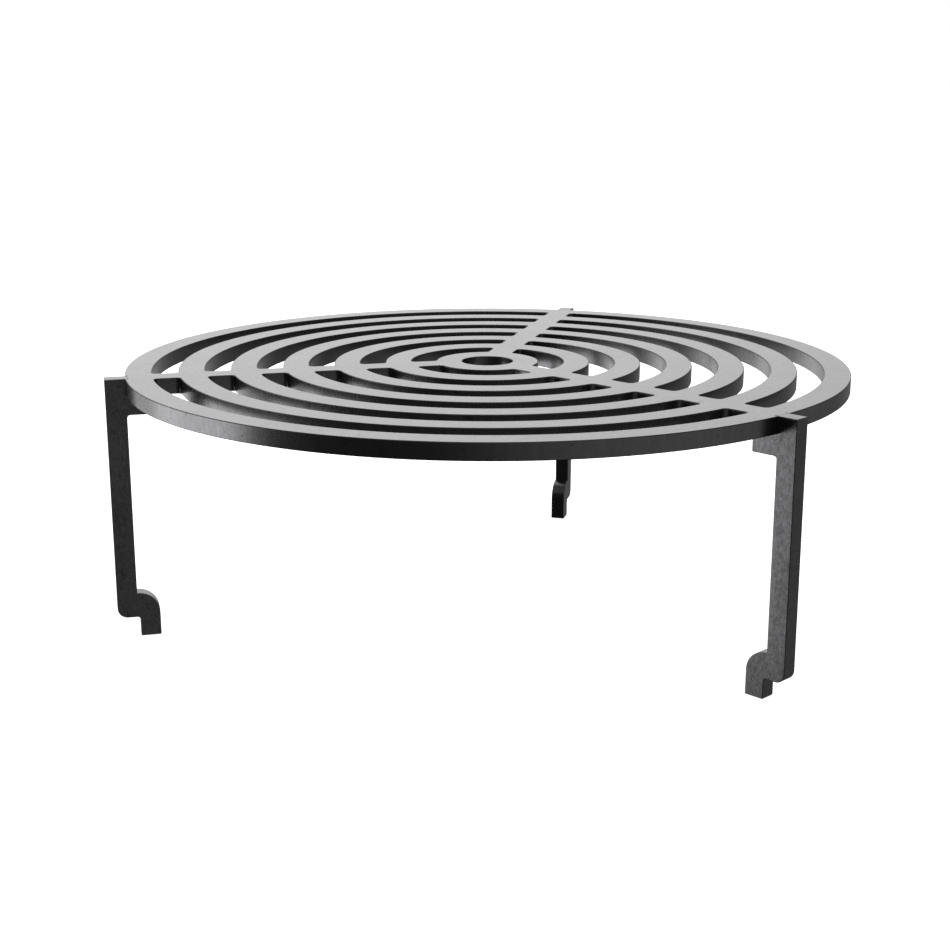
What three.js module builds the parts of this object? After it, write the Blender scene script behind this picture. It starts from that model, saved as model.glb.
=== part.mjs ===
// Round cooking grate on three hooked legs.
//
// One steel plate is cut into concentric rings joined by three spokes, and a flat steel leg is welded
// under the outer ring at the end of each spoke. The legs stand on the ground on their feet, or hang in
// the round hole of a fire bowl's rim: the ledges rest on the rim and the prongs reach down inside it.
//
// Millimetres, +Z up. The origin is on the ground, in the middle of the box round the whole object.
// The back leg points along +Y, and the left and right legs stand 120 degrees to either side of it.

import * as THREE from 'three';

// ---- Driving dimensions ----

const BAR_WIDTH = 13; // the width of every ring, every gap and every spoke, and the centre hole's radius
const RING_COUNT = 7;
const PLATE_THICKNESS = 8;
const SLOT_CORNER_RADIUS = 2.5;
const OVERALL_HEIGHT = 131.5;

const LEG_NAMES = ['back', 'left', 'right'];
const BACK_LEG_ANGLE = Math.PI / 2;
const LEG_THICKNESS = 8;
const POST_WIDTH = 10; // the upright part of a leg, measured outward from the rim
const ARM_LENGTH = 13; // how far the arm reaches inward, as far as the outer ring's inner edge
const ARM_DEPTH = 10;
const ARM_FILLET = 1.5;

const PRONG_WIDTH = 10;
const PRONG_STEP = 11; // how far the prong is set inward of the post
const LEDGE_HEIGHT = 10; // from the foot up to the ledge that rests on a fire bowl's rim
const LEDGE_FILLET = 1.5;
const HEEL_RADIUS = 5; // the rounded corner under the post
const SHOULDER_HEIGHT = 22.5;
const SHOULDER_RADIUS = 10.5;

const NOTCH_DEPTH = 1; // the shallow notch in the rim that locates a leg's tab
const NOTCH_RELIEF_RADIUS = 0.6;

const WELD_SIZE = 2.5; // the bead's legs, on the plate and on the arm
const WELD_BULGE = 0.4; // how far the bead's face stands out from a straight one
const WELD_RETURN = 4; // how far the bead runs back along each side of the arm
const WELD_CORNER_STEPS = 4;

const FIT_GAP = 0.3; // between pieces that touch
const ARC_TOLERANCE = 0.06; // how far a facet may fall inside the true arc

// ---- Sizes that follow ----

const GRATE_RADIUS = 2 * RING_COUNT * BAR_WIDTH;
const LEG_REACH = GRATE_RADIUS + POST_WIDTH;
const SECTOR_ANGLE = (2 * Math.PI) / LEG_NAMES.length;
const PLATE_UNDERSIDE = OVERALL_HEIGHT - PLATE_THICKNESS;
const NOTCH_FLOOR = GRATE_RADIUS - NOTCH_DEPTH;
const NOTCH_HALF_WIDTH = LEG_THICKNESS / 2 + FIT_GAP;
const GRATE_CENTRE_Y = (GRATE_RADIUS - LEG_REACH) / 2;

const STEEL_COLOUR = 0x35363a;
const WELD_COLOUR = 0x4a4744;
const plateSteel = new THREE.MeshStandardMaterial({ color: STEEL_COLOUR, roughness: 0.4, metalness: 0.9 });
const legSteel = new THREE.MeshStandardMaterial({ color: STEEL_COLOUR, roughness: 0.45, metalness: 0.9 });
const weldMetal = new THREE.MeshStandardMaterial({ color: WELD_COLOUR, roughness: 0.55, metalness: 0.9 });

// ---- Outlines ----

// Points along an arc from one angle to another, as few as keep the facets within the tolerance.
function arc(centreX, centreY, radius, from, to) {
  const largestStep = Math.min(Math.PI / 6, 2 * Math.acos(1 - ARC_TOLERANCE / radius));
  const steps = Math.max(1, Math.ceil(Math.abs(to - from) / largestStep - 1e-6));
  const points = [];
  for (let i = 0; i <= steps; i += 1) {
    const angle = from + ((to - from) * i) / steps;
    points.push(new THREE.Vector2(centreX + radius * Math.cos(angle), centreY + radius * Math.sin(angle)));
  }
  return points;
}

function turned(points, angle) {
  const origin = new THREE.Vector2();
  return points.map((point) => point.clone().rotateAround(origin, angle));
}

function mirrored(points) {
  return points.map((point) => new THREE.Vector2(point.x, -point.y)).reverse();
}

// One end of a slot, beside a spoke that lies along +X: the two rounded corners, listed from the
// outer edge of the slot to its inner edge.
function slotEnd(innerRadius, outerRadius) {
  const round = SLOT_CORNER_RADIUS;
  const side = BAR_WIDTH / 2;
  const offset = side + round;
  const outerX = Math.sqrt((outerRadius - round) ** 2 - offset ** 2);
  const innerX = Math.sqrt((innerRadius + round) ** 2 - offset ** 2);
  const outerTurn = Math.atan2(offset, outerX);
  const innerTurn = Math.atan2(offset, innerX);
  return [
    ...arc(outerX, offset, round, outerTurn, -Math.PI / 2),
    ...arc(innerX, offset, round, -Math.PI / 2, innerTurn - Math.PI),
  ];
}

// One slot, from one spoke to the next, about the middle of its sector at angle 0.
function slotOutline(innerRadius, outerRadius) {
  const end = turned(slotEnd(innerRadius, outerRadius), -SECTOR_ANGLE / 2);
  const outerCorner = end[0];
  const innerCorner = end[end.length - 1];
  const outerAngle = Math.atan2(outerCorner.y, outerCorner.x);
  const innerAngle = Math.atan2(innerCorner.y, innerCorner.x);
  const innerArc = arc(0, 0, innerRadius, innerAngle, -innerAngle).slice(1, -1);
  const outerArc = arc(0, 0, outerRadius, -outerAngle, outerAngle).slice(1, -1);
  return [...end, ...innerArc, ...mirrored(end), ...outerArc];
}

// A third of the plate's edge, with the notch for a leg's tab in the middle, at angle 0.
function rimSector() {
  const notchAngle = Math.asin(NOTCH_HALF_WIDTH / GRATE_RADIUS);
  const relief = NOTCH_RELIEF_RADIUS;
  const upperHalf = [
    ...arc(NOTCH_FLOOR, NOTCH_HALF_WIDTH, relief, -Math.PI / 2, -2 * Math.PI),
    ...arc(0, 0, GRATE_RADIUS, notchAngle, SECTOR_ANGLE / 2).slice(0, -1),
  ];
  return [...mirrored(upperHalf), ...upperHalf];
}

function plateOutline() {
  const rim = [];
  for (let i = 0; i < LEG_NAMES.length; i += 1) {
    const sectorStart = turned([new THREE.Vector2(GRATE_RADIUS, 0)], (i - 0.5) * SECTOR_ANGLE);
    rim.push(...sectorStart, ...turned(rimSector(), i * SECTOR_ANGLE));
  }
  const outline = new THREE.Shape(rim);
  outline.holes.push(new THREE.Path(arc(0, 0, BAR_WIDTH, 0, 2 * Math.PI).slice(0, -1)));
  for (let ring = 1; ring < RING_COUNT; ring += 1) {
    const slot = slotOutline(2 * ring * BAR_WIDTH, (2 * ring + 1) * BAR_WIDTH);
    for (let i = 0; i < LEG_NAMES.length; i += 1) {
      outline.holes.push(new THREE.Path(turned(slot, (i + 0.5) * SECTOR_ANGLE)));
    }
  }
  return outline;
}

// A leg's outline in its own plane: x is the distance from the grate's centre, y is the height.
function legOutline() {
  const tabInner = NOTCH_FLOOR + FIT_GAP;
  const armTop = PLATE_UNDERSIDE - FIT_GAP;
  const armBottom = PLATE_UNDERSIDE - ARM_DEPTH;
  const armEnd = GRATE_RADIUS - ARM_LENGTH;
  const postInner = GRATE_RADIUS;
  const prongOuter = LEG_REACH - PRONG_STEP;
  const prongInner = prongOuter - PRONG_WIDTH;
  const shoulderX = prongInner + SHOULDER_RADIUS;
  const shoulderY = SHOULDER_HEIGHT - SHOULDER_RADIUS;
  const heelX = LEG_REACH - HEEL_RADIUS;
  const heelY = LEDGE_HEIGHT + HEEL_RADIUS;
  const underArm = arc(postInner - ARM_FILLET, armBottom - ARM_FILLET, ARM_FILLET, Math.PI / 2, 0);
  const shoulder = arc(shoulderX, shoulderY, SHOULDER_RADIUS, Math.PI / 2, Math.PI);
  const underLedge = arc(
    prongOuter + LEDGE_FILLET, LEDGE_HEIGHT - LEDGE_FILLET, LEDGE_FILLET, Math.PI, Math.PI / 2,
  );
  const heel = arc(heelX, heelY, HEEL_RADIUS, -Math.PI / 2, 0);
  return new THREE.Shape([
    new THREE.Vector2(LEG_REACH, OVERALL_HEIGHT),
    new THREE.Vector2(tabInner, OVERALL_HEIGHT),
    new THREE.Vector2(tabInner, armTop),
    new THREE.Vector2(armEnd, armTop),
    new THREE.Vector2(armEnd, armBottom),
    ...underArm,
    new THREE.Vector2(postInner, SHOULDER_HEIGHT),
    ...shoulder,
    new THREE.Vector2(prongInner, 0),
    new THREE.Vector2(prongOuter, 0),
    ...underLedge,
    ...heel,
  ]);
}

// The weld bead's section, as (distance out from the arm, depth below the plate). Its face bulges slightly.
function weldSection() {
  const crown = WELD_SIZE / 2 + WELD_BULGE / Math.SQRT2;
  return [
    new THREE.Vector2(0, 0),
    new THREE.Vector2(WELD_SIZE, 0),
    new THREE.Vector2(crown, crown),
    new THREE.Vector2(0, WELD_SIZE),
  ];
}

// The bead's path round the arm's inner end, seen from above: its root's points (x, y) and the
// direction out from the arm at each. It runs from one side, round both corners, to the other side.
function weldPath() {
  const end = GRATE_RADIUS - ARM_LENGTH - FIT_GAP;
  const side = LEG_THICKNESS / 2 + FIT_GAP;
  const stop = GRATE_RADIUS - ARM_LENGTH + WELD_RETURN;
  const path = [{ x: stop, y: -side, out: -Math.PI / 2 }];
  for (const corner of [-1, 1]) {
    for (let i = 0; i <= WELD_CORNER_STEPS; i += 1) {
      const turn = ((corner < 0 ? 1 : 2) + i / WELD_CORNER_STEPS) * (Math.PI / 2);
      path.push({ x: end, y: corner * side, out: -turn });
    }
  }
  path.push({ x: stop, y: side, out: -(3 * Math.PI) / 2 });
  return path;
}

// ---- Pieces ----

function gratePlate() {
  const geometry = new THREE.ExtrudeGeometry(plateOutline(), { depth: PLATE_THICKNESS, bevelEnabled: false });
  const plate = new THREE.Mesh(geometry, plateSteel);
  plate.name = 'grate_plate';
  plate.position.z = PLATE_UNDERSIDE;
  plate.rotation.z = BACK_LEG_ANGLE;
  return plate;
}

// The leg is drawn flat, then stood upright so that it lies in the plane of its own +X and +Z.
function leg(name) {
  const geometry = new THREE.ExtrudeGeometry(legOutline(), { depth: LEG_THICKNESS, bevelEnabled: false });
  geometry.translate(0, 0, -LEG_THICKNESS / 2);
  geometry.rotateX(Math.PI / 2);
  const mesh = new THREE.Mesh(geometry, legSteel);
  mesh.name = `leg_${name}`;
  return mesh;
}

// One fillet weld round the inner end of a leg's arm, under the plate: the section swept along the
// path, with a flat face at each end. The root stays in place where the path turns a corner.
function weld(name) {
  const section = weldSection();
  const top = PLATE_UNDERSIDE - FIT_GAP;
  const positions = [];
  for (const { x, y, out } of weldPath()) {
    for (const point of section) {
      positions.push(x + point.x * Math.cos(out), y + point.x * Math.sin(out), top - point.y);
    }
  }
  const sides = section.length;
  const last = positions.length / 3 - sides;
  const triangles = [0, 1, 2, 0, 2, 3, last, last + 2, last + 1, last, last + 3, last + 2];
  for (let start = 0; start < last; start += sides) {
    for (let i = 0; i < sides; i += 1) {
      const a = start + i;
      const b = start + ((i + 1) % sides);
      triangles.push(a, a + sides, b, b, a + sides, b + sides);
    }
  }
  const geometry = new THREE.BufferGeometry();
  geometry.setAttribute('position', new THREE.Float32BufferAttribute(positions, 3));
  geometry.setIndex(triangles);
  const bead = new THREE.Mesh(geometry, weldMetal);
  bead.name = `weld_${name}`;
  return bead;
}

// ---- The whole grate ----

const grate = new THREE.Group();
grate.position.y = GRATE_CENTRE_Y;
grate.add(gratePlate());
LEG_NAMES.forEach((name, index) => {
  const station = new THREE.Group();
  station.rotation.z = BACK_LEG_ANGLE + index * SECTOR_ANGLE;
  station.add(leg(name), weld(name));
  grate.add(station);
});

const group = new THREE.Group();
group.add(grate);

export default group;
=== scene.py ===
"""A round fire grate in blackened steel: one ring-and-spoke plate on three hooked legs.

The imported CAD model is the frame. The plate, the legs and the weld beads are rebuilt here with fine
round edges, softened corners and bead ripples, each in the place of its CAD node. All lengths are
in metres and all heights are above the ground that the feet stand on.
"""

import math

import bmesh
import bpy
from mathutils import Matrix, Vector
from mathutils.geometry import tessellate_polygon


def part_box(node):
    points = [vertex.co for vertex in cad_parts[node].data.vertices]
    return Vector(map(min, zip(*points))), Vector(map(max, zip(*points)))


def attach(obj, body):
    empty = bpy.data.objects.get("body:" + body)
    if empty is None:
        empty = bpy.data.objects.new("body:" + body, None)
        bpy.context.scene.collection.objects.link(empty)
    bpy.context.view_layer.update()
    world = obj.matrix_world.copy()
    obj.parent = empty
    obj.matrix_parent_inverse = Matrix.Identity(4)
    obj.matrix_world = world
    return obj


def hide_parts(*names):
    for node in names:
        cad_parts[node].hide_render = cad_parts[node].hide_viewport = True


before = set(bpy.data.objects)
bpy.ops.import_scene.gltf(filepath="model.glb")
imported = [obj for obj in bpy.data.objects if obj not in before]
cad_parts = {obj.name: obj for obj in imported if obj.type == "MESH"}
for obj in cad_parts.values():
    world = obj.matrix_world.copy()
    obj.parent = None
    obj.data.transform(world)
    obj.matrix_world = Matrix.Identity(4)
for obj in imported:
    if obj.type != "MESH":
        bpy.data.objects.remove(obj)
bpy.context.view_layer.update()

MM = 0.001

# ---- Sizes from the frame ----

PLATE_LOW, PLATE_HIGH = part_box("grate_plate")
LEG_LOW, LEG_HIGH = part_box("leg_back")
GRATE_RADIUS = (PLATE_HIGH.x - PLATE_LOW.x) / 2
GRATE_CENTRE = Vector((0, PLATE_LOW.y + GRATE_RADIUS, 0))
PLATE_TOP = PLATE_HIGH.z
PLATE_UNDERSIDE = PLATE_LOW.z
LEG_THICKNESS = LEG_HIGH.x - LEG_LOW.x
LEG_REACH = LEG_HIGH.y - GRATE_CENTRE.y
ARM_END = LEG_LOW.y - GRATE_CENTRE.y

# ---- Sizes that the boxes don't give, the same as in the CAD model ----

RING_COUNT = 7
BAR_WIDTH = GRATE_RADIUS / (2 * RING_COUNT)
SLOT_CORNER_RADIUS = 2.5 * MM
NOTCH_DEPTH = 1 * MM
NOTCH_FLOOR = GRATE_RADIUS - NOTCH_DEPTH
NOTCH_RELIEF_RADIUS = 0.6 * MM
ARM_DEPTH = 10 * MM
ARM_FILLET = 1.5 * MM
PRONG_STEP = 11 * MM  # how far the prong is set inward of the post
PRONG_WIDTH = 10 * MM
PRONG_OUTER = LEG_REACH - PRONG_STEP
PRONG_INNER = PRONG_OUTER - PRONG_WIDTH
LEDGE_HEIGHT = 10 * MM
LEDGE_FILLET = 1.5 * MM
HEEL_RADIUS = 5 * MM
SHOULDER_HEIGHT = 22.5 * MM
SHOULDER_RADIUS = 10.5 * MM
WELD_SIZE = 2.5 * MM
WELD_BULGE = 0.4 * MM
WELD_RETURN = 4 * MM

# ---- Finish of the edges ----

EDGE_SOFTNESS = 0.35 * MM  # the radius that the cut edges are rounded to
EDGE_STEPS = 3
FINE_EDGE = 0.12  # the share of the softness that is left where a leg's tab fits its notch
FINE_EDGE_REACH = 5.2 * MM
FINE_EDGE_FADE = 4 * MM
TAB_END_BAND = 0.3 * MM  # the tab's end is this deep, outward from the notch's floor
TAB_FOOT_MARGIN = 0.5 * MM  # and starts this far above the plate's underside
CORNER_SOFTNESS = 0.6 * MM
TIGHT_CORNER = 0.1 * MM
EDGE_SHADE_BAND = 0.15 * MM  # the strip beside a rounded edge in which its painted shade fades out
EDGE_SHADE_AT_BORDERS = 0.6  # how strongly a rounded edge's painted shade shows along its two borders, against 1 between them
FIT_GAP = 0.03 * MM  # between pieces that touch
ARC_TOLERANCE = 0.008 * MM  # how far a facet may fall inside the true arc
LARGEST_ARC_STEP = math.radians(15)
ROUNDING_SLACK = 1e-6  # keeps a rounding error from adding one more facet
RIPPLE_PITCH = 0.9 * MM
RIPPLE_HEIGHT = 0.09 * MM
RIPPLE_BOW = 0.6  # how far a ripple's middle lies along the bead from its ends, in pitches
BEAD_STEP = 0.12 * MM
BEAD_FACE_STEPS = 10
BEAD_END_LENGTH = 1.3 * MM
BEAD_END_SWELL = 0.35  # the bead's size at its two ends, as a share of its full size
MERGE_DISTANCE = 0.0001 * MM

LEG_ANGLES = {"back": 90, "left": 210, "right": 330}
SECTOR = 2 * math.pi / len(LEG_ANGLES)


# ---- Outlines: lists of (x, y), with the material on the left-hand side ----

def arc(centre_x, centre_y, radius, start, end):
    """Points along an arc, as few as keep the facets within the tolerance."""
    largest_step = min(LARGEST_ARC_STEP, 2 * math.acos(1 - ARC_TOLERANCE / radius))
    steps = max(1, math.ceil(abs(end - start) / largest_step - ROUNDING_SLACK))
    angles = [start + (end - start) * i / steps for i in range(steps + 1)]
    return [(centre_x + radius * math.cos(a), centre_y + radius * math.sin(a)) for a in angles]


def turned(points, angle):
    c, s = math.cos(angle), math.sin(angle)
    return [(c * x - s * y, s * x + c * y) for x, y in points]


def mirrored(points):
    return [(x, -y) for x, y in reversed(points)]


def rounded(corners):
    """A closed outline from corners (x, y, radius), each rounded by its own radius."""
    points = []
    for i, (x, y, radius) in enumerate(corners):
        here = Vector((x, y))
        to_last = (Vector(corners[i - 1][:2]) - here).normalized()
        to_next = (Vector(corners[(i + 1) % len(corners)][:2]) - here).normalized()
        half_angle = to_last.angle(to_next) / 2
        centre = here + (to_last + to_next).normalized() * radius / math.sin(half_angle)
        first = here + to_last * radius / math.tan(half_angle) - centre
        last = here + to_next * radius / math.tan(half_angle) - centre
        start = math.atan2(first.y, first.x)
        sweep = math.remainder(math.atan2(last.y, last.x) - start, 2 * math.pi)
        points += arc(centre.x, centre.y, radius, start, start + sweep)
    return points


def slot_end(inner, outer):
    """One end of a slot, beside a spoke that lies along +X, from its outer edge to its inner edge."""
    corner = SLOT_CORNER_RADIUS
    offset = BAR_WIDTH / 2 + corner
    outer_x = math.sqrt((outer - corner) ** 2 - offset ** 2)
    inner_x = math.sqrt((inner + corner) ** 2 - offset ** 2)
    outer_turn = math.atan2(offset, outer_x)
    inner_turn = math.atan2(offset, inner_x)
    return (arc(outer_x, offset, corner, outer_turn, -math.pi / 2)
            + arc(inner_x, offset, corner, -math.pi / 2, inner_turn - math.pi))


def slot_outline(inner, outer):
    """A slot about angle 0, running clockwise so that the plate is on its left."""
    end = turned(slot_end(inner, outer), -SECTOR / 2)
    outer_angle = math.atan2(end[0][1], end[0][0])
    inner_angle = math.atan2(end[-1][1], end[-1][0])
    inner_arc = arc(0, 0, inner, inner_angle, -inner_angle)[1:-1]
    outer_arc = arc(0, 0, outer, -outer_angle, outer_angle)[1:-1]
    return end + inner_arc + mirrored(end) + outer_arc


def rim_sector():
    """A third of the plate's edge but for its end points, with the notch for a leg's tab at angle 0."""
    half_width = LEG_THICKNESS / 2 + FIT_GAP
    notch_angle = math.asin(half_width / GRATE_RADIUS)
    relief = arc(NOTCH_FLOOR, half_width, NOTCH_RELIEF_RADIUS, -math.pi / 2, -2 * math.pi)
    upper_half = relief + arc(0, 0, GRATE_RADIUS, notch_angle, SECTOR / 2)[:-1]
    return mirrored(upper_half) + upper_half


def plate_outlines():
    """The rim, the centre hole and the slots, round the grate's centre."""
    rim = []
    slots = []
    for i in range(len(LEG_ANGLES)):
        turn = math.radians(LEG_ANGLES["back"]) + i * SECTOR
        rim += turned([(GRATE_RADIUS, 0)], turn - SECTOR / 2) + turned(rim_sector(), turn)
        for ring in range(1, RING_COUNT):
            slot = slot_outline(2 * ring * BAR_WIDTH, (2 * ring + 1) * BAR_WIDTH)
            slots.append(turned(slot, turn + SECTOR / 2))
    centre_hole = arc(0, 0, BAR_WIDTH, 2 * math.pi, 0)[:-1]
    return [rim, centre_hole] + slots


def leg_outline():
    """A leg in its own plane: x is the distance from the grate's centre, y is the height."""
    tab_inner = NOTCH_FLOOR + FIT_GAP
    arm_top = PLATE_UNDERSIDE - FIT_GAP
    arm_bottom = PLATE_UNDERSIDE - ARM_DEPTH
    post_inner = GRATE_RADIUS
    return rounded([
        (LEG_REACH, PLATE_TOP, CORNER_SOFTNESS),
        (tab_inner, PLATE_TOP, TIGHT_CORNER),
        (tab_inner, arm_top, TIGHT_CORNER),
        (ARM_END, arm_top, CORNER_SOFTNESS),
        (ARM_END, arm_bottom, CORNER_SOFTNESS),
        (post_inner, arm_bottom, ARM_FILLET),
        (post_inner, SHOULDER_HEIGHT, TIGHT_CORNER),
        (PRONG_INNER, SHOULDER_HEIGHT, SHOULDER_RADIUS),
        (PRONG_INNER, 0, CORNER_SOFTNESS),
        (PRONG_OUTER, 0, CORNER_SOFTNESS),
        (PRONG_OUTER, LEDGE_HEIGHT, LEDGE_FILLET),
        (LEG_REACH, LEDGE_HEIGHT, HEEL_RADIUS),
    ])


# ---- Meshes ----

def inset(outline, scales, distance):
    """The outline moved into the material by a distance, times each point's own scale."""
    moved = []
    for i, (x, y) in enumerate(outline):
        here = Vector((x, y))
        before = (here - Vector(outline[i - 1])).normalized()
        after = (Vector(outline[(i + 1) % len(outline)]) - here).normalized()
        left_before = Vector((-before.y, before.x))
        left_after = Vector((-after.y, after.x))
        slide = (left_before + left_after) / (1 + left_before.dot(left_after))
        moved.append(here + slide * distance * scales[i])
    return moved


def section_rings(thickness):
    """How a cut edge is rounded: (inset, height, painted edge shade, cut) from the bottom face to the top
    face.
    """
    half = [(EDGE_SOFTNESS + EDGE_SHADE_BAND, 0, 0, 0)]
    for i in range(EDGE_STEPS + 1):
        angle = math.pi / 2 * i / EDGE_STEPS
        distance = EDGE_SOFTNESS * (1 - math.sin(angle))
        height = EDGE_SOFTNESS * (1 - math.cos(angle))
        # The rounded edge's rings are marked for a painted shade in their colour, full between its two
        # borders.
        edge_shade = 1 if 0 < i < EDGE_STEPS else EDGE_SHADE_AT_BORDERS
        half.append((distance, height, edge_shade, i / EDGE_STEPS))
    half.append((0, EDGE_SOFTNESS + EDGE_SHADE_BAND, 0, 1))
    return half + [(d, thickness - z, edge_shade, cut) for d, z, edge_shade, cut in reversed(half)]


def cap(points, loops, facing):
    """Triangles over the flat face inside the loops, facing up (1) or down (-1)."""
    flat = [index for loop in loops for index in loop]
    filled = tessellate_polygon([[Vector(points[i]) for i in loop] for loop in loops])
    triangles = [tuple(flat[i] for i in triangle) for triangle in filled]
    upward_area = 0
    for a, b, c in triangles:
        to_second = Vector(points[b]) - Vector(points[a])
        to_third = Vector(points[c]) - Vector(points[a])
        upward_area += to_second.cross(to_third).z
    if upward_area * facing > 0:
        return triangles
    return [tuple(reversed(triangle)) for triangle in triangles]


def cut_plate(name, outlines, thickness, scale_at):
    """A mesh of a plate cut along the outlines, lying on its own XY plane, with softened edges."""
    points, faces, edge_shades, cuts = [], [], [], []
    rings = section_rings(thickness)
    bottom_loops, top_loops = [], []
    for outline in outlines:
        scales = [scale_at(x, y) for x, y in outline]
        count = len(outline)
        start = len(points)
        for distance, height, edge_shade, cut in rings:
            points += [(p.x, p.y, height) for p in inset(outline, scales, distance)]
            edge_shades += [edge_shade] * count
            cuts += [cut] * count
        for ring in range(len(rings) - 1):
            for i in range(count):
                j = (i + 1) % count
                low, high = start + ring * count, start + (ring + 1) * count
                faces.append((low + i, low + j, high + j, high + i))
        bottom_loops.append(range(start, start + count))
        top_loops.append(range(start + (len(rings) - 1) * count, start + len(rings) * count))
    faces += cap(points, bottom_loops, -1) + cap(points, top_loops, 1)
    mesh = smooth_mesh(name, points, faces)
    # The first attribute marks the rounded edges for their painted shade, the second the cut walls.
    mesh.attributes.new("edge_shade", "FLOAT", "POINT").data.foreach_set("value", edge_shades)
    mesh.attributes.new("cut", "FLOAT", "POINT").data.foreach_set("value", cuts)
    return mesh


def smooth_mesh(name, points, faces):
    mesh = bpy.data.meshes.new(name)
    mesh.from_pydata(points, [], faces)
    mesh.validate()
    mesh.shade_smooth()
    return mesh


def merge_repeated_points(mesh):
    """Joins the points that lie on one another, such as the bead's root where it turns a corner."""
    work = bmesh.new()
    work.from_mesh(mesh)
    bmesh.ops.remove_doubles(work, verts=work.verts, dist=MERGE_DISTANCE)
    work.to_mesh(mesh)
    work.free()


def place(name, mesh, matrix, material, node):
    """Adds a mesh to the scene as a finer piece that stands in for a CAD node."""
    piece = bpy.data.objects.new(name, mesh)
    bpy.context.scene.collection.objects.link(piece)
    piece.matrix_world = matrix
    mesh.materials.append(material)
    normals = piece.modifiers.new("face_weighted_normals", "WEIGHTED_NORMAL")
    normals.keep_sharp = True
    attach(piece, "root")
    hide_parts(node)


def make_plate(material):
    angles = [math.radians(angle) for angle in LEG_ANGLES.values()]
    notches = [(GRATE_RADIUS * math.cos(a), GRATE_RADIUS * math.sin(a)) for a in angles]

    def scale_at(x, y):
        """Full softening on the rim and slots, and a fine edge round the notches."""
        nearest = min(math.dist((x, y), notch) for notch in notches)
        return min(1, max(FINE_EDGE, (nearest - FINE_EDGE_REACH) / FINE_EDGE_FADE))

    mesh = cut_plate("grate_plate_fine", plate_outlines(), PLATE_TOP - PLATE_UNDERSIDE, scale_at)
    matrix = Matrix.Translation(GRATE_CENTRE + Vector((0, 0, PLATE_UNDERSIDE)))
    place("grate_plate_fine", mesh, matrix, material, "grate_plate")


def make_leg(name, angle, material):
    def scale_at(x, y):
        """Full softening everywhere but on the tab's end, which closes the notch."""
        in_notch = x < NOTCH_FLOOR + TAB_END_BAND and y > PLATE_UNDERSIDE + TAB_FOOT_MARGIN
        return FINE_EDGE if in_notch else 1

    mesh = cut_plate(f"leg_{name}_fine", [leg_outline()], LEG_THICKNESS, scale_at)
    upright = Matrix.Rotation(math.pi / 2, 4, "X")
    centred = Matrix.Translation((0, LEG_THICKNESS / 2, 0))
    turn = Matrix.Rotation(math.radians(angle), 4, "Z")
    matrix = Matrix.Translation(GRATE_CENTRE) @ turn @ centred @ upright
    place(f"leg_{name}_fine", mesh, matrix, material, f"leg_{name}")


def bead_path():
    """The weld's path round the arm's inner end, from above: (x, y, direction out, distance along it)."""
    end = ARM_END - FIT_GAP
    side = LEG_THICKNESS / 2 + FIT_GAP
    stop = ARM_END + WELD_RETURN
    path = []
    travelled = 0

    def run(x0, y0, x1, y1, out):
        nonlocal travelled
        length = math.hypot(x1 - x0, y1 - y0)
        steps = round(length / BEAD_STEP)
        for i in range(steps):
            share = i / steps
            x = x0 + (x1 - x0) * share
            y = y0 + (y1 - y0) * share
            path.append((x, y, out, travelled + length * share))
        travelled += length

    def turn(x, y, out):
        nonlocal travelled
        length = math.pi / 2 * WELD_SIZE / 2
        steps = round(length / BEAD_STEP)
        for i in range(steps):
            share = i / steps
            path.append((x, y, out - math.pi / 2 * share, travelled + length * share))
        travelled += length

    run(stop, -side, end, -side, -math.pi / 2)
    turn(end, -side, -math.pi / 2)
    run(end, -side, end, side, -math.pi)
    turn(end, side, -math.pi)
    run(end, side, stop, side, -math.pi * 3 / 2)
    path.append((stop, side, -math.pi * 3 / 2, travelled))
    return path


def bead_face(along, total):
    """The bead's face at a distance along it, from toe to toe: (out from the arm, below the plate)."""
    from_end = min(1, min(along, total - along) / BEAD_END_LENGTH)
    swell = BEAD_END_SWELL + (1 - BEAD_END_SWELL) * math.sqrt(1 - (1 - from_end) ** 2)
    face = []
    for i in range(BEAD_FACE_STEPS + 1):
        share = i / BEAD_FACE_STEPS
        middle = 4 * share * (1 - share)
        ripple = abs(math.sin(math.pi * (along - RIPPLE_BOW * RIPPLE_PITCH * middle) / RIPPLE_PITCH))
        height = (WELD_BULGE * middle + RIPPLE_HEIGHT * ripple * min(1, 2 * middle)) / math.sqrt(2)
        out = (WELD_SIZE * (1 - share) + height) * swell
        down = (WELD_SIZE * share + height) * swell
        face.append((out, down))
    return face


def make_weld(name, angle, material):
    path = bead_path()
    total = path[-1][3]
    top = PLATE_UNDERSIDE - FIT_GAP
    points = []
    for x, y, out, along in path:
        for distance, down in [(0, 0)] + bead_face(along, total):
            points.append((x + distance * math.cos(out), y + distance * math.sin(out), top - down))
    count = len(points) // len(path)
    faces = [tuple(range(count)), tuple(reversed(range(len(points) - count, len(points))))]
    for start in range(0, len(points) - count, count):
        for i in range(count):
            j = (i + 1) % count
            faces.append((start + i, start + count + i, start + count + j, start + j))
    mesh = smooth_mesh(f"weld_{name}_bead", points, faces)
    merge_repeated_points(mesh)
    matrix = Matrix.Translation(GRATE_CENTRE) @ Matrix.Rotation(math.radians(angle), 4, "Z")
    place(f"weld_{name}_bead", mesh, matrix, material, f"weld_{name}")


# ---- Materials ----

CLOUD_SIZE = 22 * MM
SCALE_MARK_SIZE = 2.6 * MM
PIT_SIZE = 4.5 * MM
GRAIN_SIZE = 0.7 * MM
LASER_LINE_SIZE = 1.3 * MM
LASER_LINE_STRETCH = 0.1  # a laser line is ten times as long as it is wide
NOISE_LOW = 0.3  # most of a noise's values lie between these two
NOISE_HIGH = 0.7
BLUE_TRACE = 1.03
PIT_COLOUR = (0.04, 0.038, 0.037)

WELD_TINT_SIZE = 3 * MM
WELD_GRAIN_SIZE = 0.3 * MM
WELD_GRAIN_DEPTH = 0.03 * MM
STRAW_COLOUR = (0.24, 0.2, 0.15)
BLUE_COLOUR = (0.15, 0.16, 0.2)
WELD_DARK_COLOUR = (0.06, 0.055, 0.05)

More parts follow.
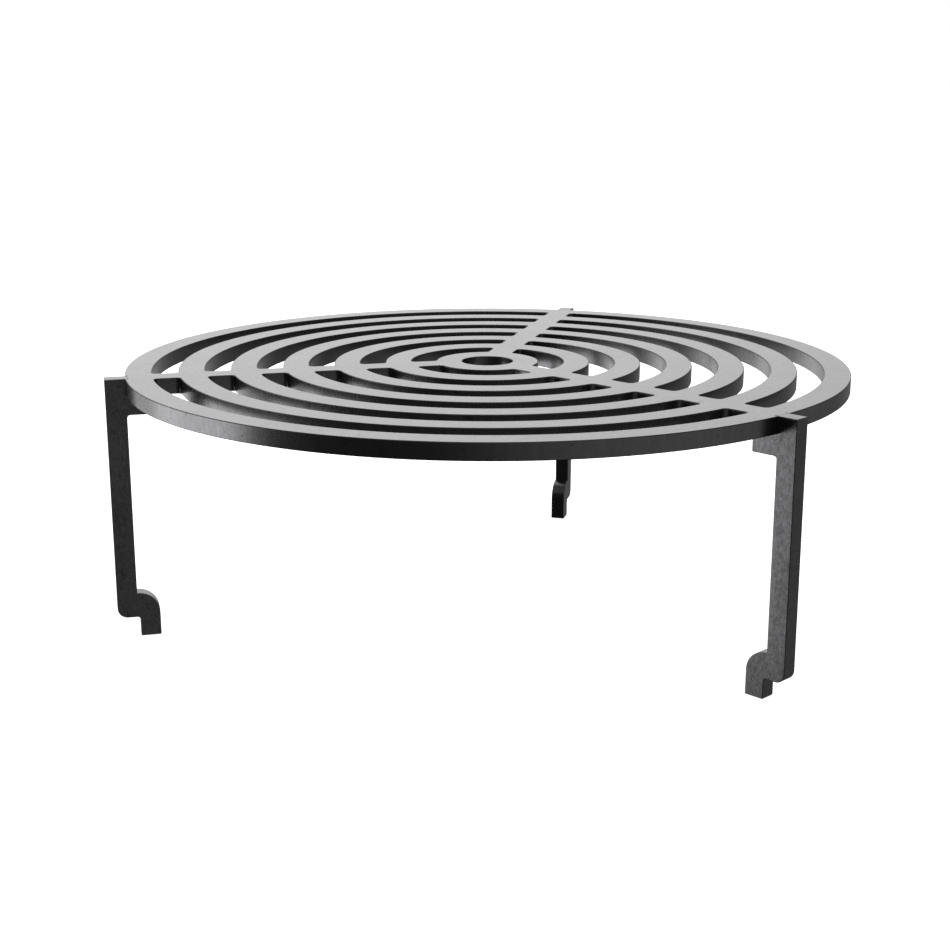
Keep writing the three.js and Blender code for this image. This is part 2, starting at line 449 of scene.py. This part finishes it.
MIX_COLOUR_A = 6  # the Mix node's own sockets for colours
MIX_COLOUR_B = 7
MIX_COLOUR_RESULT = 2


def new_metal(name):
    """A new metallic material: (the material, its node tree, its shader)."""
    material = bpy.data.materials.new(name)
    material.use_nodes = True
    shader = material.node_tree.nodes["Principled BSDF"]
    shader.inputs["Metallic"].default_value = 1.0
    return material, material.node_tree, shader


def add_node(tree, kind, inputs, **settings):
    """A new shader node. Each input is a plain value or another node's output."""
    node = tree.nodes.new("ShaderNode" + kind)
    for key, value in settings.items():
        setattr(node, key, value)
    for key, value in inputs.items():
        if isinstance(value, bpy.types.NodeSocket):
            tree.links.new(value, node.inputs[key])
        else:
            node.inputs[key].default_value = value
    return node


def noise(tree, vector, feature, detail, roughness=0.5, distortion=0.0):
    """Noise from 0 to 1 with features of about the given size."""
    inputs = {"Vector": vector, "Scale": 1 / feature, "Detail": detail, "Roughness": roughness,
              "Distortion": distortion}
    return add_node(tree, "TexNoise", inputs).outputs["Fac"]


def remap(tree, value, from_low, from_high, to_low, to_high):
    inputs = {"Value": value, "From Min": from_low, "From Max": from_high,
              "To Min": to_low, "To Max": to_high}
    return add_node(tree, "MapRange", inputs).outputs["Result"]


def spread(tree, value, low, high):
    """A noise with the middle of its range stretched to run from low to high."""
    return remap(tree, value, NOISE_LOW, NOISE_HIGH, low, high)


def combine(tree, operation, first, second):
    node = add_node(tree, "Math", {0: first, 1: second}, operation=operation)
    return node.outputs[0]


def blend_value(tree, share, first, second):
    node = add_node(tree, "Mix", {"Factor": share, "A": first, "B": second})
    return node.outputs["Result"]


def blend_colour(tree, share, first, second):
    """Mixes two colours, each an RGB triple or another node's output."""
    node = tree.nodes.new("ShaderNodeMix")
    node.data_type = "RGBA"
    tree.links.new(share, node.inputs["Factor"])
    for socket, colour in ((node.inputs[MIX_COLOUR_A], first), (node.inputs[MIX_COLOUR_B], second)):
        if isinstance(colour, bpy.types.NodeSocket):
            tree.links.new(colour, socket)
        else:
            socket.default_value = (*colour, 1)
    return node.outputs[MIX_COLOUR_RESULT]


def stretched(tree, x, y, z):
    """The object's own coordinates, scaled along each axis: a scale under 1 draws features out."""
    own = add_node(tree, "TexCoord", {}).outputs["Object"]
    return add_node(tree, "Mapping", {"Vector": own, "Scale": (x, y, z)}).outputs["Vector"]


def tone_range(tone, contrast):
    """A dark and a light neutral steel colour, with a trace of blue, about a middle tone."""
    shares = (1 - contrast, 1 + contrast)
    return [(tone * share, tone * share, tone * share * BLUE_TRACE) for share in shares]


def make_steel(name, face_scale, face_tones, cut_tones, edge_shade_tone, face_relief, cut_relief):
    """Dark hot-rolled plate: cloudy mill scale on its faces, fine laser lines down its cut edges.

    Two point attributes say where on a piece a point is: cut is 0 on a flat face and 1 on a cut wall,
    and the edge shade is 1 along the rounded edge between them, whose colour gets a painted shade:
    a dark tone in place of the dark reflection that a rounded edge shows.
    """
    material, tree, shader = new_metal(name)
    faces = stretched(tree, *face_scale)
    across = stretched(tree, 1, 1, LASER_LINE_STRETCH)
    cut = add_node(tree, "Attribute", {}, attribute_name="cut").outputs["Fac"]
    edge_shade = add_node(tree, "Attribute", {}, attribute_name="edge_shade").outputs["Fac"]

    clouds = noise(tree, faces, CLOUD_SIZE, detail=3)
    scale_marks = noise(tree, faces, SCALE_MARK_SIZE, detail=4, roughness=0.6, distortion=0.6)
    grain = noise(tree, faces, GRAIN_SIZE, detail=2)
    laser_lines = noise(tree, across, LASER_LINE_SIZE, detail=3, roughness=0.6)
    pits = noise(tree, faces, PIT_SIZE, detail=2, distortion=0.3)

    broad = spread(tree, clouds, 0, 0.3)
    mottle = combine(tree, "ADD", broad, spread(tree, scale_marks, 0, 0.7))
    lines = spread(tree, laser_lines, 0, 0.4)
    lined = combine(tree, "ADD", remap(tree, mottle, 0, 1, 0, 0.6), lines)
    face_colour = blend_colour(tree, mottle, *face_tones)
    cut_colour = blend_colour(tree, lined, *cut_tones)
    steel = blend_colour(tree, cut, face_colour, cut_colour)
    pitted = blend_colour(tree, remap(tree, pits, 0.68, 0.74, 0, 0.45), steel, PIT_COLOUR)
    # Painted shade: the rounded edges are darkened in colour, a stand-in for the dark reflection they
    # show.
    edge = combine(tree, "MULTIPLY", edge_shade, spread(tree, scale_marks, 0.8, 1))
    edge_shade_colour = (edge_shade_tone, edge_shade_tone, edge_shade_tone)
    tree.links.new(blend_colour(tree, edge, pitted, edge_shade_colour), shader.inputs["Base Color"])

    sheen = remap(tree, mottle, 0, 1, 0.3, 0.24)
    roughness = add_node(tree, "Math", {0: edge_shade, 1: 0.15, 2: sheen}, operation="MULTIPLY_ADD").outputs[0]
    tree.links.new(roughness, shader.inputs["Roughness"])

    face_marks = combine(tree, "ADD", scale_marks, combine(tree, "MULTIPLY", grain, 0.2))
    cut_marks = combine(tree, "ADD", laser_lines, combine(tree, "MULTIPLY", scale_marks, 0.35))
    face_height = combine(tree, "MULTIPLY", face_marks, face_relief)
    cut_height = combine(tree, "MULTIPLY", cut_marks, cut_relief)
    relief = blend_value(tree, cut, face_height, cut_height)
    bump = add_node(tree, "Bump", {"Height": relief, "Distance": 1.0})
    tree.links.new(bump.outputs["Normal"], shader.inputs["Normal"])
    return material


def make_weld_metal():
    """A clean weld bead: paler than the plate, with straw and blue heat colours and a fine grain."""
    material, tree, shader = new_metal("weld_bead_steel")
    even = stretched(tree, 1, 1, 1)
    tint = noise(tree, even, WELD_TINT_SIZE, detail=2)
    grain = noise(tree, even, WELD_GRAIN_SIZE, detail=3)
    heat = blend_colour(tree, remap(tree, tint, 0.35, 0.65, 0, 1), STRAW_COLOUR, BLUE_COLOUR)
    colour = blend_colour(tree, remap(tree, grain, 0.4, 0.8, 0, 0.6), heat, WELD_DARK_COLOUR)
    tree.links.new(colour, shader.inputs["Base Color"])
    tree.links.new(spread(tree, grain, 0.32, 0.5), shader.inputs["Roughness"])
    bump = add_node(tree, "Bump", {"Height": grain, "Strength": 0.6, "Distance": WELD_GRAIN_DEPTH})
    tree.links.new(bump.outputs["Normal"], shader.inputs["Normal"])
    return material


# ---- Studio ----

CAMERA_PLACE = Vector((0.20878, -0.77770, 0.27766))
CAMERA_TILT = 75.518  # degrees, from looking straight down
CAMERA_HEADING = 15.575  # degrees, anticlockwise from +Y
CAMERA_LENS = 59.942
CAMERA_CLIP_START = 10 * MM
SOFTBOX_DISTANCE = 1.6
FLOOR_HALF_WIDTH = 20
FLOOR_TONE = 0.9
FLOOR_ROUGHNESS = 0.9
FLOOR_GLOW = 0.85
ROOM_LIGHT = 0.03

# The soft glows on the studio's walls: (around, elevation, edge, radiance), as make_glow takes them.
GLOWS = (
    (-168, 42, 0.45, 1.65),  # high behind the grate: the top face mirrors it towards the camera
    (-148, -30, 0.82, 1.35),  # low behind, on the left: cut edges turned well to the left mirror it
    (170, -18, 0.8, 0.2),  # low behind, on the right: cut edges turned well to the right mirror it
    (70, -5, 0.0, 0.27),  # broad and dim on the right: cut edges turned to the right mirror it
    (0, 49, 0.75, 1.3),  # high on the camera's side: the top face mirrors it towards the back
)


def make_camera():
    camera = bpy.data.objects.new("camera", bpy.data.cameras.new("camera"))
    bpy.context.scene.collection.objects.link(camera)
    camera.location = CAMERA_PLACE
    camera.rotation_euler = (math.radians(CAMERA_TILT), 0, math.radians(CAMERA_HEADING))
    camera.data.lens = CAMERA_LENS
    camera.data.clip_start = CAMERA_CLIP_START
    bpy.context.scene.camera = camera


def studio_direction(around, elevation):
    """The direction at an angle around the grate, to the right of the camera, and an angle up."""
    turn = math.radians(CAMERA_HEADING - 90 + around)
    rise = math.radians(elevation)
    return Vector((math.cos(turn) * math.cos(rise), math.sin(turn) * math.cos(rise), math.sin(rise)))


def make_softbox(name, around, elevation, width, height, radiance):
    """A rectangular lamp that faces the middle of the top face and shows only in reflections."""
    away = studio_direction(around, elevation)
    lamp = bpy.data.lights.new(name, "AREA")
    lamp.shape = "RECTANGLE"
    lamp.size = width
    lamp.size_y = height
    lamp.energy = radiance * math.pi * width * height
    softbox = bpy.data.objects.new(name, lamp)
    bpy.context.scene.collection.objects.link(softbox)
    softbox.location = GRATE_CENTRE + Vector((0, 0, PLATE_TOP)) + away * SOFTBOX_DISTANCE
    softbox.rotation_euler = away.to_track_quat("Z", "Y").to_euler()
    softbox.visible_camera = False


def make_floor():
    """A pale floor that glows almost to white by itself, so that only faint shadows show on it."""
    mesh = bpy.data.meshes.new("floor")
    half = FLOOR_HALF_WIDTH
    corners = [(-half, -half, 0), (half, -half, 0), (half, half, 0), (-half, half, 0)]
    mesh.from_pydata(corners, [], [(0, 1, 2, 3)])
    floor = bpy.data.objects.new("floor", mesh)
    bpy.context.scene.collection.objects.link(floor)
    material = bpy.data.materials.new("pale_floor")
    material.use_nodes = True
    shader = material.node_tree.nodes["Principled BSDF"]
    shader.inputs["Base Color"].default_value = (FLOOR_TONE, FLOOR_TONE, FLOOR_TONE, 1)
    shader.inputs["Roughness"].default_value = FLOOR_ROUGHNESS
    shader.inputs["Emission Color"].default_value = (1, 1, 1, 1)
    shader.inputs["Emission Strength"].default_value = FLOOR_GLOW
    mesh.materials.append(material)
    floor.visible_glossy = False
    floor.visible_shadow = False


def make_glow(tree, around, elevation, edge, radiance):
    """A wide soft patch of light on the studio's walls, fading out to where its cosine is the edge."""
    direction = add_node(tree, "TexCoord", {}).outputs["Generated"]
    towards = {0: direction, 1: studio_direction(around, elevation)}
    cosine = add_node(tree, "VectorMath", towards, operation="DOT_PRODUCT").outputs["Value"]
    fade = {"Value": cosine, "From Min": edge, "To Max": radiance}
    return add_node(tree, "MapRange", fade, interpolation_type="SMOOTHSTEP").outputs["Result"]


def make_world():
    """White to look at, but a dim studio to be lit by, with soft glows all round."""
    world = bpy.data.worlds.new("studio")
    bpy.context.scene.world = world
    world.use_nodes = True
    tree = world.node_tree
    background = tree.nodes["Background"]
    background.inputs["Color"].default_value = (1, 1, 1, 1)
    light = ROOM_LIGHT
    for glow in GLOWS:
        light = combine(tree, "ADD", make_glow(tree, *glow), light)
    ray = add_node(tree, "LightPath", {})
    seen = combine(tree, "MAXIMUM", ray.outputs["Is Camera Ray"], light)
    tree.links.new(seen, background.inputs["Strength"])


# ---- The whole scene ----

# Each steel's edge tone is the painted shade along its rounded edges.
plate_steel = make_steel(
    "dark_plate_steel", face_scale=(1, 1, 1), face_tones=tone_range(0.152, 0.08),
    cut_tones=tone_range(0.152, 0.2), edge_shade_tone=0.035, face_relief=0.0009 * MM, cut_relief=0.013 * MM,
)
leg_steel = make_steel(
    "dark_leg_steel", face_scale=(1.8, 1, 1.8), face_tones=tone_range(0.128, 0.42),
    cut_tones=tone_range(0.104, 0.25), edge_shade_tone=0.085, face_relief=0.014 * MM, cut_relief=0.006 * MM,
)
weld_metal = make_weld_metal()
make_plate(plate_steel)
for leg_name, leg_angle in LEG_ANGLES.items():
    make_leg(leg_name, leg_angle, leg_steel)
    make_weld(leg_name, leg_angle, weld_metal)
make_floor()
make_world()
make_softbox("left_softbox", around=-96, elevation=-2, width=1.26, height=1.6, radiance=2.38)
make_camera()
bpy.context.scene.view_settings.view_transform = "Standard"
